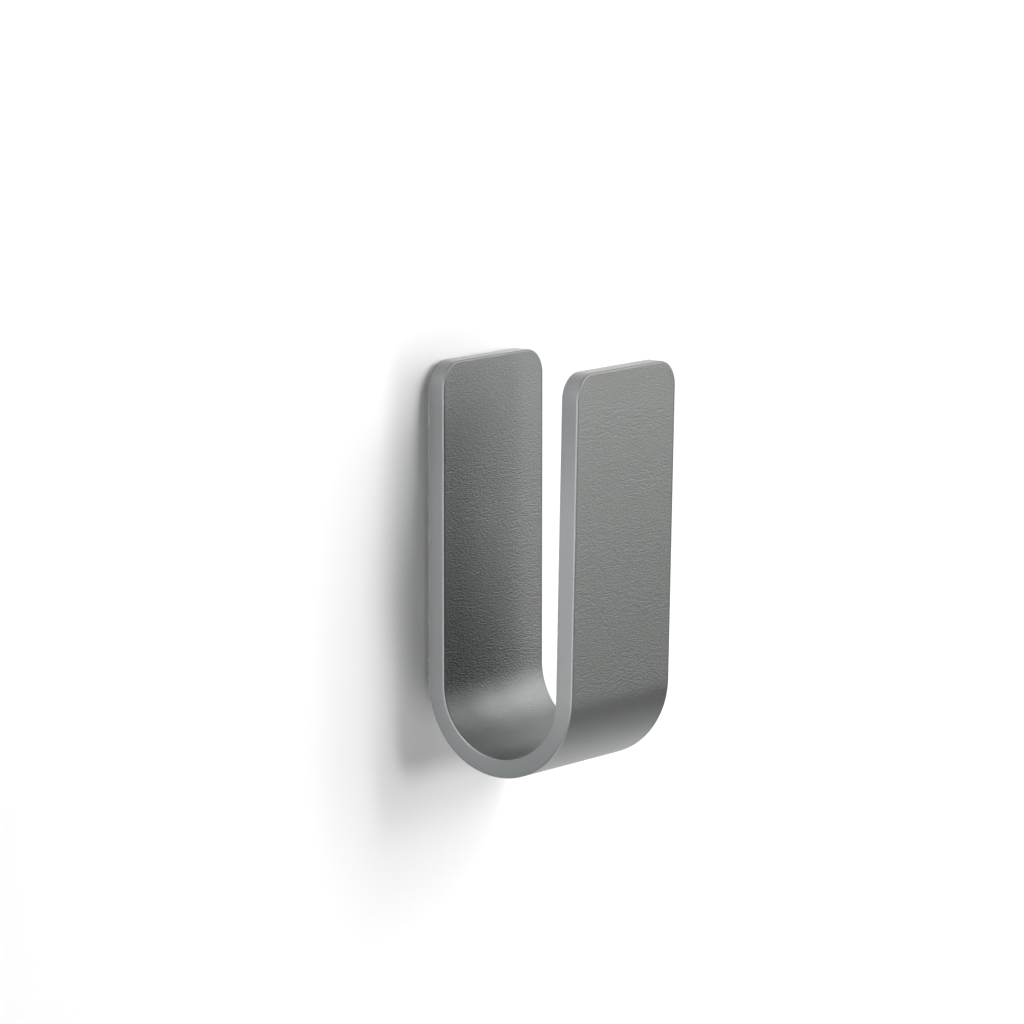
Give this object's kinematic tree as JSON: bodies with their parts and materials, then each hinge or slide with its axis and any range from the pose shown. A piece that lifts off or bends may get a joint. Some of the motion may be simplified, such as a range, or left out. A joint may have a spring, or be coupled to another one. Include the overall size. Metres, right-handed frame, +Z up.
{
  "type": "wall hook",
  "caption": "U-shaped wall hook bent from thick flat bar with rounded tips, open at the top, painted grey and stuck to the wall by a thin foam pad.",
  "frame": {"origin": "centre of the adhesive pad's face on the wall", "axes": "+Y points into the wall, +Z up along the arms, +X along the bar's width"},
  "size_m": [0.035, 0.0387, 0.0851],
  "materials": {
    "painted_bar": "satin grey metallic powder coat with a fine pebbled grain",
    "foam_tape": "matt closed-cell foam tape"
  },
  "bodies": {
    "root": {"hook": "painted_bar", "adhesive_pad": "foam_tape"}
  },
  "joints": []
}
